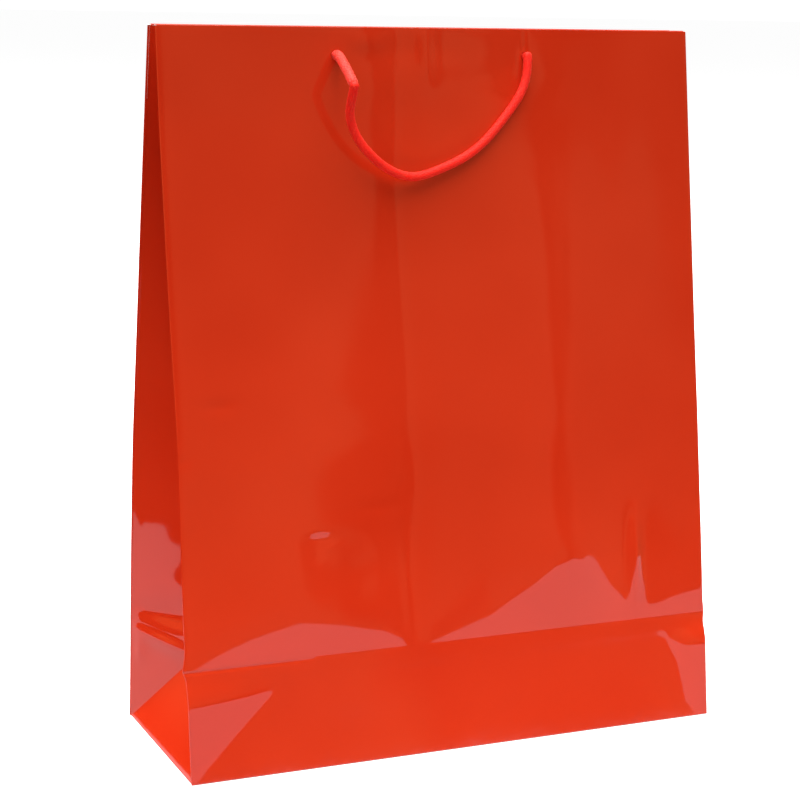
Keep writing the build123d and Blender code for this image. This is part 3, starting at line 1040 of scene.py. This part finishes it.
def glossy_room(tree):
    """What the gloss sees above the table: a dim room with upright bands of softer light."""
    place = add_node(tree, "ShaderNodeTexCoord").outputs["Generated"]
    parts = add_node(tree, "ShaderNodeSeparateXYZ")
    tree.links.new(place, parts.inputs["Vector"])
    texture = add_node(tree, "ShaderNodeTexNoise", Scale=9.0, Detail=2.0)
    tree.links.new(place, texture.inputs["Vector"])
    sway = calculate(tree, "MULTIPLY_ADD", texture.outputs["Fac"], 0.2, parts.outputs["X"])
    ramp = add_node(tree, "ShaderNodeValToRGB")
    tree.links.new(calculate(tree, "MULTIPLY_ADD", sway, 0.5, 0.45), ramp.inputs["Fac"])
    stops = ramp.color_ramp.elements
    while len(stops) < len(ROOM):
        stops.new(0.5)
    for stop, (along, colour) in zip(stops, ROOM):
        stop.position = along
        stop.color = (*colour, 1)
    # a warm pale wall high on the left
    high = calculate(tree, "MULTIPLY", parts.outputs["Z"], 16.0, use_clamp=True)
    left = calculate(tree, "LESS_THAN", parts.outputs["X"], -0.1)
    wall = add_node(tree, "ShaderNodeMixRGB")
    tree.links.new(calculate(tree, "MULTIPLY", high, left), wall.inputs["Fac"])
    tree.links.new(ramp.outputs["Color"], wall.inputs["Color1"])
    wall.inputs["Color2"].default_value = (0.62, 0.35, 0.11, 1)
    room = add_node(tree, "ShaderNodeBackground")
    tree.links.new(wall.outputs["Color"], room.inputs["Color"])
    return room.outputs["Background"]


FLOOR_REACH = 99.0
FLOOR_LEVEL, TABLE_LEVEL = -0.0003, -0.0005     # just under the lowest sheet, in metres
# The outline of the pale table that the gloss mirrors. Past its edges the gloss shows the dim room.
TABLE_SHAPE = ((-0.42, 0.30), (-0.49, 0.115), (-0.542, 0.085), (-0.576, 0.064), (-0.608, 0.040),
               (-0.60, 0.0), (-0.40, -0.08), (-0.24, -0.56), (0.0, -0.66), (0.75, -0.72),
               (0.75, -0.10), (0.50, 0.30))


def make_floor():
    """The white floor that the camera sees, and the glowing table that only the gloss sees."""
    shader = new_material("floor")[1]
    shader.inputs["Base Color"].default_value = (0.80, 0.80, 0.80, 1)
    shader.inputs["Roughness"].default_value = 0.8
    shader.inputs["Specular IOR Level"].default_value = 0.0
    shader.inputs["Emission Color"].default_value = (1, 1, 1, 1)
    shader.inputs["Emission Strength"].default_value = 0.7
    corners = [(x * FLOOR_REACH, y * FLOOR_REACH) for x, y in ((-1, -1), (1, -1), (1, 1), (-1, 1))]
    floor = flat_shape("floor", corners, FLOOR_LEVEL, MATERIALS["floor"])
    floor.visible_glossy = False
    floor.visible_diffuse = False
    shader = new_material("table")[1]
    shader.inputs["Base Color"].default_value = (0, 0, 0, 1)
    shader.inputs["Specular IOR Level"].default_value = 0.0
    shader.inputs["Emission Color"].default_value = (1.0, 0.97, 1.0, 1)
    shader.inputs["Emission Strength"].default_value = 1.3
    table = flat_shape("table_seen_in_gloss", TABLE_SHAPE, TABLE_LEVEL, MATERIALS["table"])
    table.visible_camera = False
    table.visible_diffuse = False
    table.visible_shadow = False


def make_world():
    """White for the camera, the dim room for the gloss and a pale even light for the rest."""
    world = bpy.data.worlds.new("studio")
    world.use_nodes = True
    bpy.context.scene.world = world
    tree = world.node_tree
    pale = tree.nodes["Background"]
    pale.inputs["Color"].default_value = (1.0, 1.0, 1.0, 1)
    pale.inputs["Strength"].default_value = 0.35
    white = add_node(tree, "ShaderNodeBackground", Strength=1.1)
    white.inputs["Color"].default_value = (1.0, 1.0, 1.0, 1)
    ray = add_node(tree, "ShaderNodeLightPath")
    light = pale.outputs["Background"]
    for kind, shown in (("Is Camera Ray", white.outputs["Background"]), ("Is Glossy Ray", glossy_room(tree))):
        mix = add_node(tree, "ShaderNodeMixShader")
        tree.links.new(ray.outputs[kind], mix.inputs["Fac"])
        tree.links.new(light, mix.inputs[1])
        tree.links.new(shown, mix.inputs[2])
        light = mix.outputs["Shader"]
    tree.links.new(light, tree.nodes["World Output"].inputs["Surface"])


def make_lights():
    area_light("overhead", (-0.24, -0.28, 4.0), (0, 0, 0.1), (5.0, 5.0), 430.0)
    for name, place, aim, size, power in (
            ("rear_left", (-1.1, 1.75, 1.4), (-0.1, 0, 0.05), (1.0, 1.0), 55.0),
            ("low_left", (-0.42, 0.04, 0.05), (-0.14, 0, 0.05), (0.4, 0.08), 0.45),
            ("low_front", (0.0, -0.32, 0.04), (0, 0, 0.03), (0.8, 0.06), 0.9)):
        lamp = area_light(name, place, aim, size, power)
        lamp.visible_glossy = False
        lamp.visible_camera = False


def dress_nodes():
    """Gives each piece of the designed bag its material."""
    looks = {"paper": "paper", "paper_inside": "lining", "card": "grey_board", "board": "grey_board",
             "cord": "cord"}
    slots = {part["node"]: part["material_slot"] for part in frame["record"]["subparts"]}
    for node, piece in frame["nodes"].items():
        piece.data.materials.clear()
        piece.data.materials.append(MATERIALS[looks[slots[node]]])


make_camera()
make_materials()
make_cords()
make_walls()
make_gussets()
make_lower_gussets()
make_base()
make_mouth()
make_knots()
dress_nodes()
bpy.context.scene.view_settings.view_transform = "Standard"
make_floor()
make_world()
make_lights()
